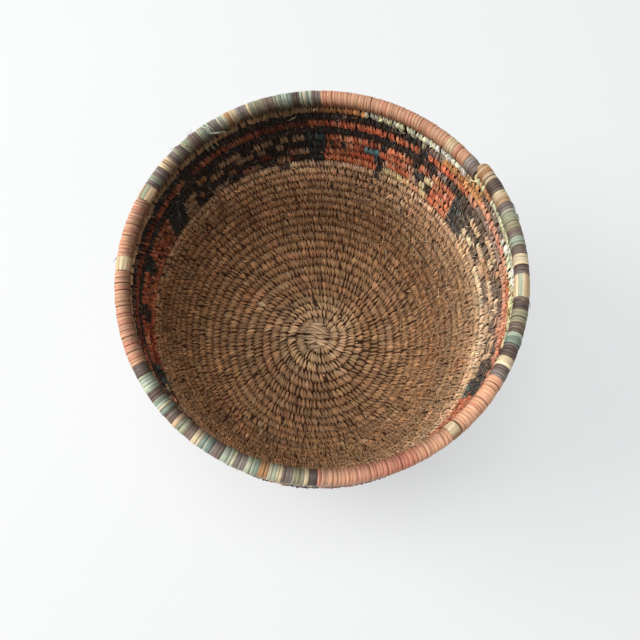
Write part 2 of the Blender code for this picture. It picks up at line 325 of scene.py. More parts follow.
# Roughness, darkening in recesses (partly dirt, partly painted shade) and fading of each finish
FINISHES = (
    ("natural_splint", "undyed palm splint", 0.66, 0.95, 0.2),
    ("tan_splint", "pale palm splint", 0.6, 0.7, 0.2),
    ("black_splint", "black-brown dyed splint", 0.62, 0.6, 0.12),
    ("teal_splint", "blue-black dyed splint", 0.6, 0.6, 0.1),
    ("terracotta_splint", "red-brown dyed splint", 0.55, 0.7, 0.15),
    ("sage_splint", "striped rim splint", 0.5, 0.7, 0.15),
    ("brown_splint", "brown rim splint", 0.5, 0.7, 0.1),
    ("grass_bundle", "dry grass bundle", 0.8, 0.5, 0.1, (40, 1500, 1), 0.6),
)
MATERIALS = {slot: leaf_material(*finish) for slot, *finish in FINISHES}
print(len(MATERIALS), "finishes")

# %% [markdown]
# ## The grass bundles
# Under the sewing lies the coil itself, a plain tube along the spiral. It only shows as dark lines
# between stitches, but without it light would shine through the wall. Its grass is painted darker than
# dry grass: partly age and dirt, partly painted shade.


# %% Bundles along the coil
def bundle(name, first, last, squeeze, nodes, colour, rim=False, taper=0.0):
    """A tube along the spiral: at each turn an ellipse, squeeze times as wide as the coil.

    It is a little over half a row high, so that neighbouring rows press on each other. Its grass runs
    lengthwise, so it is one open strap with twelve corners, whose ends shrink to a point.
    """
    turns = np.linspace(first, last, int((last - first) * 90) + 2)
    centre, out_of_wall, up_wall, _ = coil_frame(turns, rim)
    radius = np.full(len(turns), RIM_RADIUS) if rim else coil_radius(turns)
    half_height = radius * squeeze if rim else row_step(turns) * 0.56
    grown = np.clip((turns - first + 0.01) / (taper + 0.02), 0, 1)
    grown[[0, -1]] = 0.02
    around = np.linspace(0, 2 * np.pi, 12, endpoint=False)
    wide = (radius * squeeze * grown)[:, None, None] * np.cos(around)[:, None]
    high = (half_height * grown)[:, None, None] * np.sin(around)[:, None]
    places = centre[:, None] + wide * out_of_wall[:, None] + high * up_wall[:, None]
    tone = np.interp(np.sin(turns * 41) + np.sin(turns * 67), (-2, 2), (0.75, 1.2))
    colours = tone[None, :, None] * colour
    strap_piece(name, standing(places)[None], colours, "grass_bundle", nodes, ring=False)


# %% [markdown]
# ## Where the stitches lie
# The maker sets a stitch about every 2.4 mm, and never quite evenly. Each goes over the coil, down both
# sides, and through the row below between two of its stitches. So its foot is looked up: the nearest gap
# in the row below.

# %% Stitch places along the whole coil
STITCH_PITCH = 0.00238
PITCH_TURNS = (0.6, 2, 5)
PITCH_SHARES = (0.68, 0.8, 1)
# How far a stitch leans back along the coil, in pitches
LEAN_TURNS = (1, 3, 10, 15)
LEANS = (-0.3, -0.85, -0.75, -0.5)
FOOT_REACH = 0.4
FIRST_STITCH = 0.5


def stitch_pitch(turn):
    """The distance between stitches, which is finer in the middle of the floor."""
    return STITCH_PITCH * np.interp(turn, PITCH_TURNS, PITCH_SHARES)


def stitch_turns():
    """Turns of all stitches up to the rim, evenly spaced by pitches along the coil and then jittered."""
    turns = np.linspace(FIRST_STITCH, RIM_TURN, 60000)
    lengths = np.linalg.norm(np.diff(coil_centre(turns), axis=0), axis=1) / stitch_pitch(turns[1:])
    lengths = np.concatenate([[0], np.cumsum(lengths)])
    count = int(lengths[-1])
    wanted = (np.arange(count) + 0.5 + chance.normal(0, 0.09, count)) * lengths[-1] / count
    return np.interp(wanted, lengths, turns)


turn = stitch_turns()
row = np.floor(turn)
angle = STEP_ANGLE + 360 * (turn - row)
round_length = 2 * np.pi * np.interp(turn, TURNS, RADII)
gaps_below = (turn[1:] + turn[:-1]) / 2
pitch = stitch_pitch(turn)
lean = np.interp(turn, LEAN_TURNS, LEANS) * pitch
wanted_foot = turn - 1 + lean / round_length
nearest = np.clip(np.searchsorted(gaps_below, wanted_foot), 1, len(gaps_below) - 1)
nearer = wanted_foot - gaps_below[nearest - 1] < gaps_below[nearest] - wanted_foot
gap = gaps_below[nearest - nearer]
foot = np.clip((gap - (turn - 1)) * round_length, lean - FOOT_REACH * pitch, lean + FOOT_REACH * pitch)
foot = np.where(turn < 2, lean, foot)
print(len(turn), "stitches")


# %% [markdown]
# ## The colours of the stitches
# The pattern is counted in rows and in degrees round the wall. Between six upright blue-black blocks lie
# red-brown fields with small dark marks, and black fields with stepped undyed checks. Above them run four
# plain rows. Dyes never take evenly, so some stitches of each colour are drawn by lot for a sister
# colour.

# %% Written tables
def rows_of(table):
    """The rows of a written table, with commas between them. Figures become numbers."""
    rows = (row.split() for row in table.split(","))
    return [[word if word[0].isalpha() else float(word) for word in row] for row in rows]


# %% Dyes
DYE_CODES = {
    "natural": "cfab86", "cream": "dcc19a", "ivory": "e4cfa8", "straw": "f4d9ac", "tan": "c08c5c",
    "orange": "bb8a5c", "pink": "d8997c", "red": "a8563c", "rust": "84402e", "terracotta": "c07050",
    "rim_terracotta": "cf9b7b", "rim_red": "c47d66", "black": "2d2420", "teal": "2e3838",
    "petrol": "4f6f70", "sage": "a3a88c", "mint": "b4bda4", "pale_mint": "d8e0d0", "olive": "9c967a",
    "brown": "7e6c62", "umber": "5a4a42", "grey": "94887f",
}
DYES = {name: paint(code) for name, code in DYE_CODES.items()}
# The share of a dye's stitches that each sister colour takes
SISTERS = {
    "terracotta": "pink 0.16, red 0.2, rust 0.1, orange 0.12",
    "teal": "black 0.35, petrol 0.1, umber 0.06",
    "black": "teal 0.12, umber 0.12",
    "natural": "cream 0.012, tan 0.02",
    "cream": "natural 0.25, ivory 0.15, tan 0.06",
    "mint": "petrol 0.16, sage 0.2, ivory 0.12",
    "brown": "grey 0.2, sage 0.12",
    "umber": "grey 0.12, brown 0.2",
    "rim_terracotta": "rim_red 0.12, pink 0.06",
}

# %% The pattern, by row and degrees
# Each piece of the band has a dye, and the turns and degrees where it starts and ends. The fields reach up
# to the rim here, and the plain rows are then laid over them
BAND_PIECES = rows_of("""
    teal_block_1 teal 23 33 27 36, terracotta_panel_1 terracotta 23 33 36 88,
    teal_block_2 teal 23 33 88 94.5, dark_panel_1 black 23 33 94.5 146,
    teal_block_3 teal 23 33 146 154, terracotta_panel_2 terracotta 23 33 154 204,
    teal_block_4 teal 23 33 204 210, dark_panel_2 black 23 33 210 262,
    teal_block_5 teal 23 33 262 270, terracotta_panel_3 terracotta 23 33 270 325,
    teal_block_6 teal 23 33 325 333, dark_panel_3 black 23 33 333 387,
    lower_black_course black 27 28 27 387, terracotta_course terracotta 28 29 27 387,
    upper_black_course black 29 30 27 387, tan_course cream 30 33 27 387
""")
# Each mark is a dye, a row and the degrees where it starts and ends
FIRST_DARK_PANEL_MARKS = rows_of("""
    natural 26 96.5 98.8, cream 26 99 101, natural 26 101.5 104, natural 26 108 111, natural 26 111.6 115,
    natural 26 120.5 127.5, tan 26 134 138, cream 25 103 106.5, natural 25 110 113, natural 25 114 121,
    natural 25 127.5 132.5, natural 25 139 145.5, cream 24 94.5 98, pink 24 98.5 101.5, rust 24 108 112,
    tan 24 122.5 124.5, olive 24 133 134.5, tan 24 136.5 139, natural 24 140 145, rust 23 99 101,
    natural 23 101 107.5, natural 23 113 115, pink 23 115.5 119, natural 23 126.5 133, natural 23 140 146
""")
# The hidden second dark panel repeats them further round
HIDDEN_PANEL_SHIFT, HIDDEN_PANEL_END = 115.5, 262
OTHER_MARKS = rows_of("""
    natural 23 47 50, pink 23 50 54, natural 23 54 65, black 23 65 67.5, black 24 46 48, natural 24 48 50.5,
    teal 24 50.5 53, pink 24 53 56, black 24 65.5 68, teal 24 68 70, red 24 70 80, natural 25 45.5 49.5,
    teal 25 49.5 54, pink 25 54 57, petrol 25 68.2 73, black 25 80.5 82, black 25 85.5 87,
    black 26 47.5 49, black 26 53 56, black 26 65 68, rust 26 69.5 71.5, black 22 66 67.5,
    umber 22 102 105.5, teal 26 168 172.5, teal 25 168 172, black 24 168.5 172, rust 25 173 178,
    black 26 184 188, black 25 183.5 188.5, black 24 184 188, rust 24 190 203, black 26 284 287,
    teal 25 284 289, black 24 284 288, black 24 306.5 309, black 23 306 308.5, rust 25 312 314.5,
    rust 24 312 314.5, pink 26 345 352, tan 26 363 366, cream 26 369 378, natural 25 338 346,
    cream 25 353 358, cream 25 368 371.5, cream 25 379.5 387, natural 24 339 342, natural 24 346 348,
    cream 24 352 354.5, natural 24 358 362, ivory 24 362 366, tan 24 366 374, cream 24 374 380,
    natural 23 333 358, natural 23 368 374.5, cream 23 381 387, grey 27 41.5 46, teal 27 46.5 49,
    pink 27 335 368, brown 27 368 387, pink 28 27 33, black 28 52 55, rust 28 95 113,
    black 28 138 142.5, rust 28 158 200, pink 28 362 387, orange 29 27 33, tan 29 33 46, brown 29 46 52,
    olive 29 52.3 54.5, straw 29 338 372, brown 29 372 387, orange 30 27 33, straw 30 36 76,
    straw 30 338 383, tan 30 76 90, natural 30 90 250, orange 30 384 387
""")

# %% The undyed splint, from the middle of the floor to the top
NATURAL_TURNS = (0, 2.5, 5, 16, 21, 22.5)
NATURAL_TONES = ("cba687", "deb88b", "b88f68", "b48a62", "ba946e", "d8b48e")


def natural_tone(turns):
    """The undyed splint's colour: pale in the floor's middle and at the top, browner between."""
    tones = np.array([paint(code) for code in NATURAL_TONES])
    return np.stack([np.interp(turns, NATURAL_TURNS, tones[:, part]) for part in range(3)], axis=-1)


# %% Painting stitches
# One splint sews several stitches before the next is spliced in, and all of them share its tone
STITCHES_PER_SPLINT = 7
# What a warmer and a greener splint add to red, green and blue
WARMER, GREENER = (1, -0.1, -1.2), (-0.6, 0.5, -0.6)
splint = np.cumsum(chance.random(len(turn)) < 1 / STITCHES_PER_SPLINT)
splint_tone = chance.normal(0, 0.08, splint[-1] + 1)[splint]
splint_hue = chance.normal(0, 0.02, (splint[-1] + 1, 2))[splint]


def mixed_dyes(name, base):
    """Draws some places by lot for the sister colours of a dye."""
    lot = chance.random(len(base))
    for sister, share in rows_of(SISTERS[name]) if name in SISTERS else ():
        drawn = (lot >= 0) & (lot < share)
        base[drawn] = 0.4 * base[drawn] + 0.6 * DYES[sister]
        lot = lot - share
    return base


def painted(colours, name, chosen, variation=0.08):
    """Dyes the chosen stitches. Each splint, and each stitch, is a little lighter, warmer or greener."""
    order = np.flatnonzero(chosen)
    base = natural_tone(turn[order]) if name == "natural" else np.tile(DYES[name], (len(order), 1))
    base = mixed_dyes(name, base)
    tone = np.exp(splint_tone[order] + chance.normal(0, variation, len(order)))[:, None]
    hue = splint_hue[order] + chance.normal(0, 0.015, (len(order), 2))
    colours[order] = base * tone * (1 + hue @ np.array([WARMER, GREENER]))


def within(first, last, low=STEP_ANGLE, high=STEP_ANGLE + 360):
    """The stitches between two turns and between two angles."""
    return (turn >= first) & (turn < last) & (angle >= low) & (angle < high)


colours = np.zeros((len(turn), 3))
piece_of = np.full(len(turn), "", dtype=object)
painted(colours, "natural", turn < BAND_TURN)
for name, dye, *limits in BAND_PIECES:
    painted(colours, dye, within(*limits), 0.14)
    piece_of[within(*limits)] = name
for dye, rows, low, high in FIRST_DARK_PANEL_MARKS:
    painted(colours, dye, within(rows, rows + 1, low, high))
    low, high = low + HIDDEN_PANEL_SHIFT, min(high + HIDDEN_PANEL_SHIFT, HIDDEN_PANEL_END)
    painted(colours, dye, within(rows, rows + 1, low, high))
for dye, rows, low, high in OTHER_MARKS:
    painted(colours, dye, within(rows, rows + 1, low, high))

# %% [markdown]
# ## Stains, painted light and painted shade
# Use has left its marks: a browner belt where the wall begins, a reddish spot, dark runs down the far
# wall, and a few pale rows. Pale spots high on the wall are painted light, and a dark spot on the shaded
# left wall is painted shade. Each stain is a soft spot that fades like a bell curve, and each run is a
# soft line that slants from one row to another.

# %% Soft spots and slanting runs
# A spot has a row, an angle, its reach in rows and in degrees, and a tint. The pale spots at rows 20 to
# 21.5 are painted light, and the broad dark one at row 20.5 and 176 degrees is painted shade
STAIN_AND_LIGHT_SPOTS = rows_of("""
    14 358 1.8 30 0.86 0.78 0.7, 14 40 1.8 20 0.88 0.8 0.72, 16.3 62 0.9 11 0.72 0.62 0.54,
    18.6 341.5 0.9 2.2 0.86 0.6 0.48, 9 150 0.5 7 1 0.74 0.6, 11 70 1.3 28 1.12 1.12 1.1,
    10.5 200 1 9 1.12 1.1 1.06, 20.5 176 2.7 27 0.86 0.78 0.72, 21 98 1.6 22 1.62 1.72 1.95,
    21.5 58 1.6 22 1.3 1.34 1.42, 21.5 368 2.4 34 1.4 1.44 1.5, 21 330 1.8 18 1.2 1.22 1.26,
    20 240 2.6 32 1.24 1.24 1.22, 15.5 5 2 62 0.88 0.88 0.9, 16 121 2.4 1.8 0.6 0.5 0.42,
    18.6 133 1.3 1.6 0.6 0.5 0.44, 20 176 1.5 1.6 0.55 0.45 0.38, 16.4 176 0.7 1.5 0.6 0.5 0.42,
    18.8 185 0.7 1.4 0.6 0.5 0.42, 16.3 198 0.6 1.2 0.6 0.5 0.42, 14.6 306 0.8 3 0.7 0.6 0.5,
    15 329 0.7 2 0.66 0.56 0.48, 13.5 219 1 4 0.74 0.66 0.58, 20.5 69 1 4 0.76 0.68 0.6
""")
# A run has the row and angle where it starts and where it ends
STAIN_RUNS = ((22, 138, 18, 141.7), (20, 147.5, 15.5, 152), (19, 155, 16, 157), (22, 131, 19.5, 132.5))
RUN_REACH = 0.9
RUN_TINT = np.array((0.58, 0.46, 0.38))


def soft(angles, middle, reach):
    """e^(-distance squared), where the distance is counted in reaches from the middle round the basket."""
    return np.exp(-(((angles - middle + 180) % 360 - 180) / reach) ** 2)


def stained_and_lit(colours):
    """Multiplies a colour by a tint, as far as each spot or run is felt there."""
    undyed = turn < BAND_TURN
    for spot_row, spot_angle, rows_reach, angle_reach, *tint in STAIN_AND_LIGHT_SPOTS:
        up = np.exp(-((row - spot_row) / rows_reach) ** 2)
        weight = up * soft(angle, spot_angle, angle_reach) * undyed
        colours *= 1 + (np.array(tint) - 1) * weight[:, None]
    for first_row, first_angle, last_row, last_angle in STAIN_RUNS:
        line = first_angle + (row - first_row) / (last_row - first_row) * (last_angle - first_angle)
        weight = soft(angle, line, RUN_REACH) * (row <= first_row) * (row >= last_row) * undyed
        colours *= 1 + (RUN_TINT - 1) * weight[:, None]


def faded(colours, middle, reach, share, chosen, code):
    """Moves the chosen stitches towards a faded colour, by a share that falls off round the basket."""
    share = (share * soft(angle, middle, reach) * chosen)[:, None]
    return colours * (1 - share) + paint(code) * share


# The lit side of the band has faded, and so has the outside of the plain rows at the front
colours = faded(colours, 362, 26, 0.45, within(BAND_TURN, 28), "ab937e")
colours = faded(colours, 268, 36, 0.6, turn >= 27, "d3b49f")
stained_and_lit(colours)
# The band is painted lighter on its lit side and darker in the shade round 98 to 145 degrees: painted light
# and painted shade
BAND_ANGLES = (27, 72, 98, 145, 180, 290, 387)
BAND_LIGHT_AND_SHADE = (1.7, 1.7, 0.55, 0.55, 1.3, 1.0, 1.6)
colours *= np.where(turn >= BAND_TURN, np.interp(angle, BAND_ANGLES, BAND_LIGHT_AND_SHADE), 1)[:, None]
BRIGHTEST = 0.92
colours = colours.clip(0, BRIGHTEST)

# %% [markdown]
# ## Making a stitch
# Seen along the coil, a stitch is a ring: an ellipse with flattened faces, whose lower half reaches down
# over the row below. Its face is widest in the middle of the row, where it presses on its neighbours, and
# narrow at both ends, so that it looks like a grain with a dark pit on each side of its foot. With use,
# some stitches have split into two or three strands, mostly on the heel and the wall.

# %% Stitches as rings
STITCH_STATIONS = np.radians((0, 30, 60, 90, 120, 150, 180, 213, 246, 270, 294, 327))
SECTION_RAISED = np.array((0, 1, 1, 0))
LOW_THINNING = 0.55
FACE_FLATNESS = 0.72
WAIST_POWER = 1.35


def rings(turn, wide, high, low, half_width, thickness, head, foot, waist, shoulder, outside, rim=False):
    """One closed ring for each turn.

    At an angle f round it, a ring lies wide times a power of cos(f) inside the centre line, and
    high·sin(f) above it, or low·sin(f) where that is below. Going down, it moves along the coil from head
    to foot. Its width shrinks to the waist shares at its top and foot. Its shoulders lie at a share of its
    width, raised by the thickness. outside has two factors: how far the outer face stands out, and how low
    it reaches.
    """
    centre, out_of_wall, up_wall, forward = coil_frame(turn, rim)
    f = STITCH_STATIONS
    sine, cosine = np.sin(f), np.cos(f)
    flatness = np.where(sine > 0, 1, FACE_FLATNESS) if rim else FACE_FLATNESS
    reach = np.where(sine > 0, np.outer(high, sine), np.outer(low, sine))
    stands_out, reaches_low = (np.reshape(factor, (-1, 1)) for factor in outside)
    reach = reach * np.where((sine < 0) & (cosine < 0), reaches_low, 1)
    inward = np.outer(wide, np.sign(cosine) * np.abs(cosine) ** flatness)
    inward = inward * np.where(cosine < 0, stands_out, 1)
    sweep = np.outer(head, (1 + sine) / 2) + np.outer(foot, (1 - sine) / 2)
    top_waist, foot_waist = waist
    share = 1 - (1 - np.where(sine > 0, top_waist, foot_waist)) * np.abs(sine) ** WAIST_POWER
    across = np.outer(half_width, share)[..., None] * np.array((-1, -shoulder, shoulder, 1))
    thinned = np.outer(thickness, np.where(sine < 0, 1 + LOW_THINNING * sine, 1))
    raised = thinned[..., None] * SECTION_RAISED
    lift_in, lift_up = cosine[:, None] * raised, sine[:, None] * raised
    places = centre[:, None, None]
    places = places - (inward[..., None] + lift_in)[..., None] * out_of_wall[:, None, None]
    places = places + (reach[..., None] + lift_up)[..., None] * up_wall[:, None, None]
    places = places + (sweep[..., None] + across)[..., None] * forward[:, None, None]
    return standing(places)


# Stitches press on each other, so they are wider than their share of the row
FULLNESS = 1.38
JITTER = 0.0003
STITCH_WAIST = (0.24, 0.12)
STITCH_SHOULDER = 0.55
# Outside, the stitches under the rim are tucked in, and those of the last row reach lower
TUCKED_FROM, LAST_ROW = 26, 30
TUCKED_IN, REACHES_LOWER = 0.68, 1.9
# The share of stitches that are split, by turn, and how many of those are split again
WORN_TURNS = (3, 8, 14, 22, 24)
WORN_SHARES = (0.25, 0.55, 0.8, 0.85, 0.5)
SPLIT_AGAIN = 0.35


def stitch_places(chosen):
    """The rings of the chosen stitches, some of them split into strands, and each ring's stitch."""
    order = np.flatnonzero(chosen)
    worn = np.interp(turn[order], WORN_TURNS, WORN_SHARES)
    strands = 1 + (chance.random(len(order)) < worn) + (chance.random(len(order)) < worn * SPLIT_AGAIN)
    which = np.repeat(order, strands)
    step = np.arange(len(which)) - np.repeat(np.cumsum(strands) - strands, strands)
    share = 1 / np.repeat(strands, strands)
    place = (step + 0.5) * share - 0.5
    count = len(which)
    split = share < 1
    at = turn[which]
    half_width = 0.5 * pitch[which] * share * chance.normal(FULLNESS, 0.1, count)
    thickness = chance.uniform(0.00036, 0.00056, count) * np.where(split, 0.8, 1)
    side = place * pitch[which]
    head = side + chance.normal(0, JITTER, count) + np.where(split, chance.normal(0, 0.0002, count), 0)
    bottom = side * 0.4 + foot[which] + chance.normal(0, JITTER, count)
    high = row_step(at) / 2 - 0.0003
    low = row_step(at - 1) / 2 + chance.uniform(0.0008, 0.0013, count)
    lift = chance.normal(0, 0.00015, count) + np.where(split, chance.uniform(0, 0.00025, count), 0)
    tucked = np.where((at > TUCKED_FROM) & (at < LAST_ROW), TUCKED_IN, 1)
    outside = (tucked, np.where(at >= LAST_ROW, REACHES_LOWER, 1))
    wide = coil_radius(at) - 0.0004 + lift
    places = rings(at, wide, high, low, half_width, thickness, head, bottom, STITCH_WAIST, STITCH_SHOULDER,
                   outside)
    return places, which


# The top and the foot of a ring and its two low edges are darkened: partly dirt, partly painted shade
ENDS_DIRT_AND_SHADE = np.abs(np.sin(STITCH_STATIONS))[:, None] ** 2.4
DIRT_AND_SHADE = ENDS_DIRT_AND_SHADE * (1, 0.42, 0.42, 1) + (1 - ENDS_DIRT_AND_SHADE) * (0.22, 0, 0, 0.22)


def sew(name, chosen, slot, nodes):
    """Sews the chosen stitches as one piece."""
    places, which = stitch_places(chosen)
    tones = colours[which] * np.exp(chance.normal(0, 0.17, (len(which), 1)))
    strap_piece(name, places, tones, slot, nodes, dirt_and_shade=DIRT_AND_SHADE)


# %% [markdown]
# ## The undyed floor, heel and wall
# These three lengths of the coil have the same undyed sewing. The wall has the most stitches, so it is
# sewn in four pieces.

# %% Bundles and stitches of the undyed part
# Darker than dry grass for its age and dirt, and for the shade deep between the stitches: partly painted
# shade
SHADED_GRASS = paint("432814")
bundle("floor_bundle", -0.5, HEEL_TURN, 0.88, ["floor_coil"], SHADED_GRASS, taper=0.6)
bundle("heel_bundle", HEEL_TURN, WALL_TURN, 0.88, ["heel_coil"], SHADED_GRASS)
bundle("wall_bundle", WALL_TURN, BAND_TURN, 0.88, ["wall_coil"], SHADED_GRASS)
sew("floor_stitches", turn < HEEL_TURN, "natural_splint", ["floor_coil"])
sew("heel_stitches", within(HEEL_TURN, WALL_TURN), "natural_splint", ["heel_coil"])
WALL_EDGES = (WALL_TURN, 15.5, 18, 20.5, BAND_TURN)
for number in range(1, len(WALL_EDGES)):
    chosen = within(WALL_EDGES[number - 1], WALL_EDGES[number])
    sew(f"wall_stitches_{number}", chosen, "natural_splint", ["wall_coil"])

# %% [markdown]
# ## The start of the coil
# The maker bends the first bit of the bundle over and ties it with a few stitches side by side, a small
# button in the middle of the floor. Each strap is a ring round a flattened ball. A lower layer covers it,
# and shorter straps cross over that.

# %% The starting knot
KNOT_PLACE = np.array((-0.0026, -0.0012, 0.0131))
KNOT_HALF_LENGTH, KNOT_HALF_WIDTH, KNOT_HALF_HEIGHT = 0.0098, 0.0094, 0.0027
LOWER_STRAPS, UPPER_STRAPS = 9, 6


def starting_knot():
    """Straps as slices of a flattened ball: each is an ellipse that shrinks by √(1 − y²) to the sides."""
    count = LOWER_STRAPS + UPPER_STRAPS
    upper = np.arange(count) >= LOWER_STRAPS
    sides = np.concatenate([np.linspace(-0.93, 0.93, LOWER_STRAPS), np.linspace(-0.62, 0.62, UPPER_STRAPS)])
    sides = sides + chance.normal(0, 0.03, count)
    shrink = np.sqrt(1 - np.clip(sides, -0.97, 0.97) ** 2)
    length = KNOT_HALF_LENGTH * shrink * np.where(upper, chance.uniform(0.25, 0.5, count), 1)
    height = KNOT_HALF_HEIGHT * (0.45 + 0.55 * shrink) + np.where(upper, 0.0009, 0)
    height = height + chance.normal(0, 0.0001, count)
    start = KNOT_HALF_LENGTH * shrink * np.where(upper, chance.uniform(-0.4, 0.4, count), 0)
    around = np.radians(np.linspace(0, 360, 14, endpoint=False))
    tilt = np.where(upper, chance.choice((-0.5, 0.42), count) + chance.normal(0, 0.12, count),
                    chance.normal(-0.06, 0.06, count))[:, None]
    long = length[:, None] * np.cos(around)
    half_width = np.outer(np.where(upper, 0.00125, 0.0013), 0.2 + 0.8 * np.abs(np.sin(around)))
    across = half_width[..., None] * np.array((-1, -0.5, 0.5, 1))
    crown = 0.0006 * SECTION_RAISED
    x = (start[:, None] + long)[..., None] + crown * np.cos(around)[:, None]
    y = (KNOT_HALF_WIDTH * sides[:, None] + tilt * long)[..., None] + across
    z = (height[:, None] * np.sin(around))[..., None] + crown * np.sin(around)[:, None]
    places = KNOT_PLACE + np.stack([x, y, z], axis=-1)
    tones = paint("d6b691") * np.exp(chance.normal(0, 0.16, (count, 1)) + 0.2 * upper[:, None])
    # The knot's strap ends and low edges are darkened: partly dirt, partly painted shade
    dirt_and_shade = np.abs(np.cos(around))[:, None] ** 4 + 0.8 * (1 - SECTION_RAISED)
    dirt_and_shade = dirt_and_shade.clip(0, 1)
    strap_piece("starting_knot", places, tones, "natural_splint", ["floor_coil"], dirt_and_shade=dirt_and_shade)


starting_knot()

# %% [markdown]
# ## The coloured band
# Each field of the pattern and each plain row is a piece of its own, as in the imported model. A stitch
# belongs to the field that its place falls in, whatever its own colour.

# %% The band's pieces
bundle("band_bundle", BAND_TURN, RIM_TURN, 0.62, ["band_foundation"], paint("33271d"))
for name, dye, *_ in BAND_PIECES:
    slot = "tan_splint" if dye == "cream" else f"{dye}_splint"
    sew(f"{name}_stitches", piece_of == name, slot, [name])

# %% [markdown]
# ## The rim
# The last turn is thicker and wrapped close. Red-brown lengths take turns with stripes of green, brown
# and cream, which are listed by the angle at which each ends. Each strip is again a ring, whose foot
# reaches down through the tan row below. Where a new splint begins, short splints lie lengthwise, and
# such splints close the coil's end too.

# %% The stripes of the rim, by degrees
RIM_WRAPS = rows_of("""
    rim_start_wrap brown 38, terracotta_wrap_1 terracotta 90,
    striped_wrap_1 sage 153.6, splice_patch_1 natural 158.3,
    terracotta_wrap_2 terracotta 177, splice_patch_2 natural 181,
    terracotta_wrap_3 terracotta 209.3, striped_wrap_2 sage 268.7,
    terracotta_wrap_4 terracotta 305.8, splice_patch_3 natural 308.5,
    terracotta_wrap_5 terracotta 325.6, striped_wrap_3 sage 349.5,
    splice_patch_4 natural 356.8, striped_wrap_4 sage 391
""")
PATCH_DYES = {
    "splice_patch_1": "natural cream sage natural cream ivory natural cream natural",
    "splice_patch_2": "natural cream ivory cream natural cream ivory natural cream",
    "splice_patch_3": "cream ivory cream tan cream natural cream tan",
    "splice_patch_4": "cream ivory mint ivory natural cream mint "
                      "ivory natural cream sage cream tan",
}
TIP_DYES = "tan brown cream tan brown cream tan brown cream"
TIP_STRIPS = rows_of("0.08 cream, 0.3 tan, 0.5 grey, 0.68 tan, 0.84 cream, 0.95 tan")
RIM_STRIPES = rows_of("""
    35.6 brown, 38 grey, 43.3 rim_terracotta, 46.4 cream, 90 rim_terracotta, 92.8 brown, 96.6 mint,
    99.4 umber, 104.3 mint, 108.3 brown, 113 olive, 114 ivory, 117.3 grey, 119.8 ivory,
    121 tan, 124.3 mint, 127.9 grey, 131.6 mint, 135 brown, 137.8 sage, 143 brown, 146.9 cream, 150 brown,
    152 sage, 153.6 brown, 209.3 rim_terracotta, 212.7 umber, 217.5 mint, 220.3 umber, 224.7 mint,
    227.8 umber, 229.2 cream, 231.6 sage, 234.4 brown, 236.7 ivory, 240 mint, 243.1 brown,
    247 mint, 250 grey, 253.4 mint, 256 tan, 258.1 mint, 259.7 ivory, 262.3 umber, 265.4 olive,
    266.5 ivory, 268.7 umber, 325.6 rim_terracotta, 329.3 umber, 332.1 ivory,
    335.9 umber, 339.4 mint, 342.2 umber, 346.2 olive, 356.8 umber, 359.4 umber,
    362.6 ivory, 365.2 brown, 368 mint, 370.6 brown, 373.6 olive, 376.4 mint, 378.8 brown, 382.9 cream,
    386.9 umber, 389.3 cream, 391 orange
""")
STRIP_PITCH = 0.0018
# How much lighter or darker the rim's wraps are painted, by degrees: partly uneven dye, partly painted light
# and shade
RIM_ANGLES = (33, 90, 108, 114, 150, 155, 205, 214, 240, 268, 272, 290, 300, 325, 334, 357, 362, 391)
RIM_DYE_LIGHT_AND_SHADE = (1, 1, 1, 0.9, 0.92, 0.98, 0.97, 0.93, 0.88, 0.86, 1.02, 1.02, 1.08, 1.18, 1.02, 1, 0.92, 0.96)
# Where the front of the rim is redder, and how much
FLUSH_ANGLES = (272, 286, 292, 297)
FLUSH_SHARES = (0, 0.7, 1, 0)
RIM_ROUND = 2 * np.pi * np.interp(wall_length(RIM_TURN + 0.5, True), ALONG, RADII)


def rim_turn_at(degrees):
    return RIM_TURN + (degrees - RIM_STEP_ANGLE) / 360


def strip_table():
    """The middle angle, the width and the colour of each strip, by filling each stripe with uneven strips.
    The colour is its dye with painted light and shade.
    """
    middles, widths, dyes = [], [], []
    start = RIM_STEP_ANGLE
    for end, dye in RIM_STRIPES:
        count = max(1, round((end - start) / 360 * RIM_ROUND / STRIP_PITCH))
        shares = np.cumsum(chance.uniform(0.7, 1.3, count))
        edges = start + (end - start) * np.concatenate([[0], shares / shares[-1]])
        middles.extend((edges[1:] + edges[:-1]) / 2)
        widths.extend(np.diff(edges) / 360 * RIM_ROUND)
        dyes.extend([dye] * count)
        start = end
    tones = np.concatenate([mixed_dyes(dye, DYES[dye][None].copy()) for dye in dyes])
    flush = np.interp(middles, FLUSH_ANGLES, FLUSH_SHARES)[:, None]
    tones = tones * (1 - flush) + DYES["rim_red"] * flush
    # Uneven dye with painted light and shade: each strip is made lighter or darker by its angle
    tones = tones * np.interp(middles, RIM_ANGLES, RIM_DYE_LIGHT_AND_SHADE)[:, None] ** 2
    return np.array(middles), np.array(widths), tones


strip_angle, strip_width, strip_dye_and_shade = strip_table()
print(len(strip_angle), "strips on the rim")


# %% Wrapping a length of the rim
WRAP_REACH = 0.0021
WRAP_WAIST = (1.0, 0.5)
WRAP_SHOULDER = 0.86
WRAP_OUTSIDE = (1.03, 1.5)


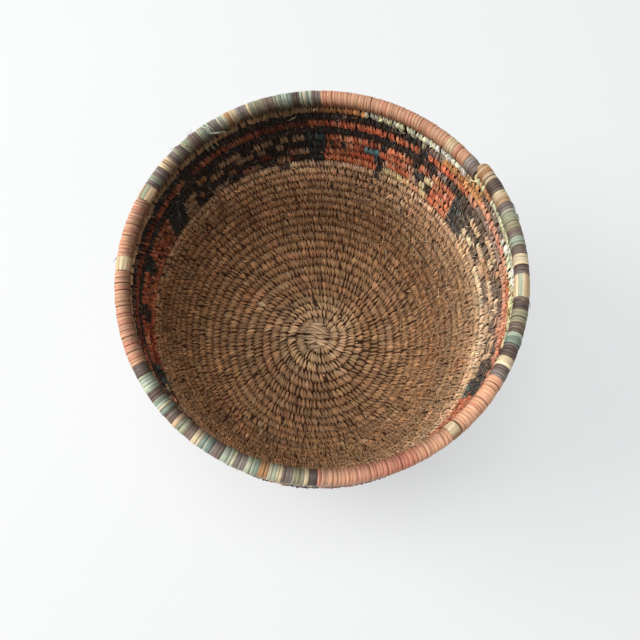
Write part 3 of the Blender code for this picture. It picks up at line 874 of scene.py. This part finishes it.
def wrap_rim(name, slot, start, end):
    """The strips of one length of the rim."""
    chosen = (strip_angle >= start) & (strip_angle < end)
    count = chosen.sum()
    turns = rim_turn_at(strip_angle[chosen])
    half_width = strip_width[chosen] / 2 * chance.normal(1.03, 0.03, count)
    thickness = chance.uniform(0.00010, 0.00024, count)
    wide = RIM_RADIUS - 0.00035 + chance.normal(0, 0.00007, count)
    head = chance.normal(0.0005, 0.00012, count)
    bottom = chance.normal(-0.0008, 0.0003, count)
    low = wide + WRAP_REACH
    places = rings(turns, wide, wide, low, half_width, thickness, head, bottom, WRAP_WAIST, WRAP_SHOULDER,
                   WRAP_OUTSIDE, rim=True)
    variation = 0.05 if "terracotta" in name else 0.1
    tones = strip_dye_and_shade[chosen] * np.exp(chance.normal(0, variation, (count, 1)))
    tones = tones * (1 + chance.normal(0, variation / 3, (count, 1)) * np.array((1, 0, -1.3)))
    # The strips' inner side is painted darker, strongly from 90 to 300 degrees round the back, left and
    # front: painted shade
    inside = np.clip(np.cos(STITCH_STATIONS) + 0.4, 0, 1)[:, None] * (0.9 if 89 < start < 300 else 0.12)
    # Outside, the strips are painted lighter, most of all from 200 to 300 degrees at the left front: painted
    # light
    lightened = np.clip(-np.cos(STITCH_STATIONS), 0, 1)[:, None] * (0.4 if 200 < start < 300 else 0.1)
    tones = tones[:, None] * (1 + lightened)
    dirt_and_shade = np.clip(-np.sin(STITCH_STATIONS), 0, 1)[:, None] ** 2 + inside + (0.25, 0, 0, 0.25)
    strap_piece(f"{name}_strips", places, tones, slot, [name], dirt_and_shade=dirt_and_shade.clip(0, 1))


# %% Splints that lie lengthwise
def lay_lengthwise(node, turns, radii, dyes, slot):
    """Splints side by side round the rim: at each turn, each is an arc of its own share of the circle.

    Their radius at each turn is given, so that they dive under the wraps or close to a rounded end.
    """
    centre, out_of_wall, up_wall, _ = coil_frame(turns, rim=True)
    tones = np.array([DYES[dye] for dye in dyes.split()])
    count = len(tones)
    middle = 2 * np.pi * (np.arange(count) + 0.5 + chance.uniform(-0.1, 0.1, count)) / count
    corner = middle[:, None] + np.pi / count * np.array((-1.08, -0.8, 0.8, 1.08))
    bow = chance.uniform(0.00012, 0.0003, (count, 1, 1)) * SECTION_RAISED
    radius = (radii[None, :, None] + bow)[..., None]
    aside = -np.cos(corner)[:, None, :, None] * out_of_wall[None, :, None]
    upward = np.sin(corner)[:, None, :, None] * up_wall[None, :, None]
    places = centre[None, :, None] + radius * (aside + upward)
    tones = tones * np.exp(chance.normal(0, 0.1, (count, 1)))
    # The low edges of the splints are darkened: partly dirt, partly painted shade
    dirt_and_shade = 0.25 * (1 - SECTION_RAISED)
    strap_piece(f"{node}_splints", places, tones, slot, [node], ring=False, dirt_and_shade=dirt_and_shade)


PATCH_OVERLAP = 0.35
ALONG_PATCH = np.linspace(-1, 1, 9)


def splice(name, start, end):
    """A patch whose splints dive under the wraps at both ends, by the way from its middle to the power 6."""
    turns = rim_turn_at((start + end) / 2 + ((end - start) / 2 + PATCH_OVERLAP) * ALONG_PATCH)
    radii = RIM_RADIUS - 0.0003 - 0.0004 * ALONG_PATCH ** 6
    lay_lengthwise(name, turns, radii, PATCH_DYES[name], "natural_splint")


# %% The rim's pieces
bundle("rim_bundle", RIM_TURN, rim_turn_at(RIM_END_ANGLE), 0.86, ["rim_core"], SHADED_GRASS, rim=True)
start = RIM_STEP_ANGLE
for name, kind, end in RIM_WRAPS:
    if name in PATCH_DYES:
        splice(name, start, end)
    else:
        wrap_rim(name, f"{kind}_splint", start, end)
    start = end

# %% The rounded end of the coil
ALONG_TIP = np.sin(np.radians((-25, 0, 20, 38, 54, 68, 80, 87)))
TIP_RADII = (RIM_RADIUS - 0.0005) * np.sqrt(1 - np.clip(ALONG_TIP, 0, 1) ** 2)
TIP_DEGREES = 2
tip_turns = rim_turn_at(RIM_END_ANGLE + TIP_DEGREES * ALONG_TIP)
lay_lengthwise("rim_tip", tip_turns, TIP_RADII, TIP_DYES, "tan_splint")
tip_share = np.array([share for share, _ in TIP_STRIPS])
tip_wide = (RIM_RADIUS - 0.0003) * np.sqrt(1 - tip_share ** 2)
tip_turns = rim_turn_at(RIM_END_ANGLE + TIP_DEGREES * tip_share)
# Half the width, the thickness, the head and the foot of each strip
tip_sizes = np.outer((0.00048, 0.0002, 0.0003, -0.0003), np.ones(len(tip_share)))
places = rings(tip_turns, tip_wide, tip_wide, tip_wide, *tip_sizes, (1, 0.9), 0.8, (1, 1), rim=True)
tip_colours = np.array([DYES[dye] for _, dye in TIP_STRIPS])
strap_piece("rim_tip_strips", places, tip_colours, "tan_splint", ["rim_tip"])

# %% [markdown]
# ## Loose strands
# An old basket is hairy: fibres have lifted from the splints, and a few splints have come out. Each
# strand is a thin strap on the inner face, which arches up on its way from one place to another. Both are
# given by row and degrees.


# %% A strand on the inner face
def strands(name, places_from, places_to, half_width, arch, colours, slot):
    """Thin straps that run straight from place to place and rise by 4·s·(1 − s) times the arch.

    A place is a row and an angle in degrees. The far end stands up too, by half the arch.
    """
    s = np.linspace(0, 1, 6)
    way = places_from[:, None] + (places_to - places_from)[:, None] * s[:, None]
    angles = np.radians(way[..., 1])
    turns = way[..., 0] - 0.5 + (way[..., 1] - STEP_ANGLE) / 360
    out_of_wall, _ = wall_directions(turns, angles)
    rise = coil_radius(turns) + 0.0001 + arch[:, None] * (4 * s * (1 - s) + 0.5 * s)
    line = wall_place(turns, angles) - rise[..., None] * out_of_wall
    thin_straps(name, line, out_of_wall, half_width, colours, slot)


def thin_straps(name, line, normal, half_width, colours, slot):
    """Straps with a diamond section along lines, which taper to the far end by 1 − 0.7·s²."""
    aside = np.cross(np.gradient(line, axis=1), normal)
    aside /= np.linalg.norm(aside, axis=-1, keepdims=True)
    taper = half_width[:, None] * (1 - 0.7 * np.linspace(0, 1, line.shape[1]) ** 2)
    section = np.stack([-aside, -0.5 * normal, aside, 0.5 * normal], axis=2)
    strap_piece(name, line[:, :, None] + taper[..., None, None] * section, colours, slot, ring=False)


# %% Fine fibres
ROW_HEIGHT = 0.0058
FIBRES = 3800
LIT_SHARE = 0.62
# Metres to a degree, by row
DEGREE_ROWS = (6, 12, 23, 31)
DEGREE_LENGTHS = (0.0006, 0.0011, 0.0016, 0.0017)
FIBRE_ROWS = (6, 30.9)


def fine_fibres():
    """Short fibres in all directions but mostly upwards, thickest on the lit wall and its band, where they
    are painted brighter.
    """
    lit = chance.random(FIBRES) < LIT_SHARE
    rows = np.where(lit, chance.normal(18.5, 3.6, FIBRES).clip(10, 26), chance.uniform(6, 30.6, FIBRES))
    degrees = np.where(lit, chance.normal(365, 48, FIBRES), chance.uniform(27, 387, FIBRES))
    degrees = (degrees - STEP_ANGLE) % 360 + STEP_ANGLE
    length = chance.gamma(5, 0.00058, FIBRES)
    heading = chance.normal(0.3, 0.8, FIBRES)
    per_degree = np.interp(rows, DEGREE_ROWS, DEGREE_LENGTHS)
    first = np.stack([rows, degrees], axis=-1)
    way = np.stack([length * np.cos(heading) / ROW_HEIGHT, length * np.sin(heading) / per_degree], axis=-1)
    last = first + way
    last[:, 0] = last[:, 0].clip(*FIBRE_ROWS)
    half_width = chance.uniform(0.00007, 0.00019, FIBRES)
    arch = chance.uniform(0.0003, 0.0012, FIBRES)
    # The fibres on the lit wall are painted brighter than the others: painted light
    brightness = np.where(lit, 0.7, 0.45)[:, None] * np.exp(chance.normal(0, 0.25, (FIBRES, 1)))
    tones = (natural_tone(rows) + paint("dcc8ac")) * brightness
    strands("fine_fibres", first, last, half_width, arch, tones, "natural_splint")


fine_fibres()

# %% Splinters of the stitches
SPLINTERS = 3200
SPLINTER_TURNS = (8, 10, 14, 22, 27, 31)
SPLINTER_WEIGHTS = (0, 0.2, 0.7, 1.3, 0.9, 0.5)
LIT_ANGLE, LIT_REACH = 10, 75
TOP_ROW = 30.95


def splinters():
    """Strands that have split off the stitches, with their dye, thickest up the wall and on its lit side."""
    weight = np.interp(turn, SPLINTER_TURNS, SPLINTER_WEIGHTS)
    weight = weight * (0.4 + 1.6 * soft(angle, LIT_ANGLE, LIT_REACH))
    order = np.sort(chance.choice(len(turn), SPLINTERS, replace=False, p=weight / weight.sum()))
    length = chance.uniform(0.0025, 0.0060, SPLINTERS)
    heading = chance.normal(0.3, 0.55, SPLINTERS)
    first = np.stack([row[order] + chance.uniform(0, 0.6, SPLINTERS), angle[order]], axis=-1)
    around = length * np.sin(heading) * 360 / round_length[order]
    last = first + np.stack([length * np.cos(heading) / ROW_HEIGHT, around], axis=-1)
    last[:, 0] = last[:, 0].clip(0, TOP_ROW)
    half_width = chance.uniform(0.00013, 0.0003, SPLINTERS)
    undyed = turn[order] < BAND_TURN
    arch = chance.uniform(0.0005, 0.0017, SPLINTERS) * np.where(undyed, 1, 0.55)
    tones = (1.5 * colours[order] + 0.06) * np.exp(chance.normal(0, 0.3, (SPLINTERS, 1)))
    for name, slot, mine in (("undyed", "natural_splint", undyed), ("dyed", "black_splint", ~undyed)):
        values = (first[mine], last[mine], half_width[mine], arch[mine], tones[mine])
        strands(f"{name}_splinters", *values, slot)


splinters()

# %% Straws that have come out
# Each has the row and angle where it starts and where it ends, and a dye
STRAWS = rows_of("""
    8.5 50 9.9 55.5 ivory, 17 30 17.1 39.5 cream, 19.3 34.8 18.6 36.8 ivory,
    9.9 111 10.6 116.5 cream, 12.6 93 13 110 natural, 13.8 108 14.7 113 tan, 9.7 95 10.1 101 pink,
    12.8 133 13.5 138 olive, 10.7 158 11.5 167 tan, 14.1 168.5 14 173.5 tan, 18.5 178 20.7 181 natural,
    17.7 157 18.6 160.5 olive, 9 365 9.2 372 ivory, 17 379.5 18.5 386 cream, 13.3 380 14.2 384.5 cream,
    18.5 323 20.6 325 cream, 17 329 18 331.5 cream, 29.9 98.5 29.5 101.7 cream, 28 166 30.8 170 tan,
    28.4 170 30.5 172.6 pink, 25 373.5 27 372.3 cream, 27.5 372 28.5 368 cream, 23.4 354.8 26.4 352.6 cream,
    14.2 291 15 292.5 cream, 29.4 128 30.9 129.5 mint, 29.8 130.5 30.9 131 mint,
    29.6 126.5 30.8 127.8 ivory, 30.9 31.5 29.3 47 tan, 30.8 34 29.8 52 orange, 30.9 27 29.6 36 orange,
    30.5 20 30.9 33 tan, 29.8 348 28.4 356 orange, 30.3 346 29 352 tan, 30.8 352 29.2 359 orange
""")
straws = np.array([straw[:4] for straw in STRAWS])
count = len(straws)
straw_dyes = np.array([DYES[straw[4]] for straw in STRAWS])
straw_widths = chance.uniform(0.00018, 0.0003, count) * np.where(straws[:, 2] > 27.9, 1.6, 1)
straw_arches = chance.uniform(0.0003, 0.0010, count)
strands("straws", straws[:, :2], straws[:, 2:], straw_widths, straw_arches, straw_dyes, "tan_splint")

# %% Frayed strips on the rim
# Each has the degrees and the place round the rim where it starts and ends, from 0 outside over 90 on top
# to 180 inside, the millimetres that its far end stands off, and a dye
FRAYED = rows_of("""
    129.8 20 127.6 165 0.9 pale_mint, 129.4 60 128.4 170 0.5 mint, 128.6 15 127 150 0.7 pale_mint,
    127.2 30 128.6 150 0.7 pale_mint, 128 150 122.5 200 1.8 pale_mint, 128.4 145 124 210 1.2 pale_mint,
    131 30 127.9 120 0.6 ivory, 127 25 129.3 140 0.6 mint, 134 20 131.2 -12 4 grey,
    134.6 30 132.8 -5 3 grey, 138.8 20 140.6 -8 2.2 sage, 138 60 136 130 0.5 ivory,
    33.6 60 30.8 40 1.4 umber, 34.5 90 31 62 1 grey, 378.5 20 376.6 -20 1.6 brown,
    375.2 15 373.8 -18 1.4 grey, 349.2 10 348 -25 1.6 orange, 177.4 30 178.4 -5 1.6 umber
""")


def frayed_strips():
    """Thin strips that leave the rim: round it by an even angle, and off it by the way squared."""
    numbers = np.array([strip[:5] for strip in FRAYED])
    s = np.linspace(0, 1, 9)
    first, last = numbers[:, :2, None], numbers[:, 2:4, None]
    degrees, place = (first + (last - first) * s).swapaxes(0, 1)
    centre, out_of_wall, up_wall, _ = coil_frame(rim_turn_at(degrees), rim=True)
    place = np.radians(place)[..., None]
    normal = np.cos(place) * out_of_wall + np.sin(place) * up_wall
    off = RIM_RADIUS + 0.00005 + 0.001 * numbers[:, 4:5] * s ** 2 + 0.0005 * s * (1 - s)
    dyes = np.array([DYES[strip[5]] for strip in FRAYED])
    half_width = chance.uniform(0.00026, 0.0004, len(FRAYED))
    thin_straps("frayed_strips", centre + off[..., None] * normal, normal, half_width, dyes, "sage_splint")


frayed_strips()

# %% [markdown]
# ## Floor, light and camera
# The basket stands on a plain pale table. The light is soft and comes from the left, as from a window, so
# the left half of the inside lies in shade and the right half is lit.

# %% The table
FLOOR_HALF = 3.0


def make_table():
    mesh = bpy.data.meshes.new("table")
    corners = np.array([(-1, -1, 0), (1, -1, 0), (1, 1, 0), (-1, 1, 0)]) * FLOOR_HALF
    mesh.from_pydata(corners, [], [(0, 1, 2, 3)])
    material, tree, shader = new_material("pale table")
    cloudy = ranged(tree, noise(tree, add(tree, "TexCoord", "Object"), 6, 3), 0, 1)
    join(tree, shader, {
        "Base Color": mixed(tree, "MIX", cloudy, (0.86, 0.875, 0.885, 1), (0.84, 0.855, 0.865, 1)),
        "Roughness": 0.7,
        "Specular IOR Level": 0.2,
    })
    glow = add(tree, "Emission", "Emission", {"Color": (0.92, 0.935, 0.945, 1)})
    seen = ranged(tree, add(tree, "LightPath", "Is Camera Ray"), 0, 0.6, 0, 1)
    lightened = add(tree, "MixShader", "Shader", {0: seen, 1: shader.outputs["BSDF"], 2: glow})
    join(tree, tree.nodes["Material Output"], {"Surface": lightened})
    mesh.materials.append(material)
    table = bpy.data.objects.new("table", mesh)
    bpy.context.scene.collection.objects.link(table)


make_table()


# %% The lamps
LAMP_TARGET = np.array((0, 0, 0.06))


def soft_lamp(name, place, size, power, colour):
    """A square area lamp. It shines down its own -Z, so it is tipped from there to the basket's middle."""
    data = bpy.data.lights.new(name, "AREA")
    data.size = size
    data.energy = power
    data.color = colour
    lamp = bpy.data.objects.new(name, data)
    lamp.location = place
    x, y, z = LAMP_TARGET - place
    lamp.rotation_euler = np.arctan2(np.hypot(x, y), -z), 0, np.arctan2(-x, y)
    bpy.context.scene.collection.objects.link(lamp)


soft_lamp("window", (-1.3, 0.15, 1.05), 1.0, 24, (1.0, 0.985, 0.96))
soft_lamp("ceiling", (-0.15, 0.05, 1.6), 0.8, 11, (1.0, 0.99, 0.98))

# %% The pale surroundings
world = bpy.data.worlds.new("pale room")
bpy.context.scene.world = world
world.use_nodes = True
sky = world.node_tree
rays = sky.nodes.new("ShaderNodeLightPath").outputs
inputs = {0: rays["Is Camera Ray"], 1: rays["Is Glossy Ray"]}
seen = add(sky, "Math", "Value", inputs, operation="MAXIMUM")
strength = ranged(sky, seen, 0.2, 1.0, 0, 1)
join(sky, sky.nodes["Background"], {"Color": (0.9, 0.93, 0.96, 1), "Strength": strength})

# %% [markdown]
# ## The camera
# It looks down into the basket from the front, about nineteen degrees off straight down.

# %% The camera
RIM_HEIGHT = coil_centre(np.linspace(RIM_TURN, RIM_TURN + 1, 200), True)[:, 2].mean()
camera_data = bpy.data.cameras.new("camera")
camera_data.lens = 37.41
camera_data.sensor_width = 36
camera = bpy.data.objects.new("camera", camera_data)
camera.location = (-0.00073, -0.1297, RIM_HEIGHT + 0.3026)
camera.rotation_euler = (0.3263, 0, 0)
bpy.context.scene.collection.objects.link(camera)
bpy.context.scene.camera = camera
bpy.context.scene.view_settings.view_transform = "Standard"
print("camera at", tuple(camera.location))
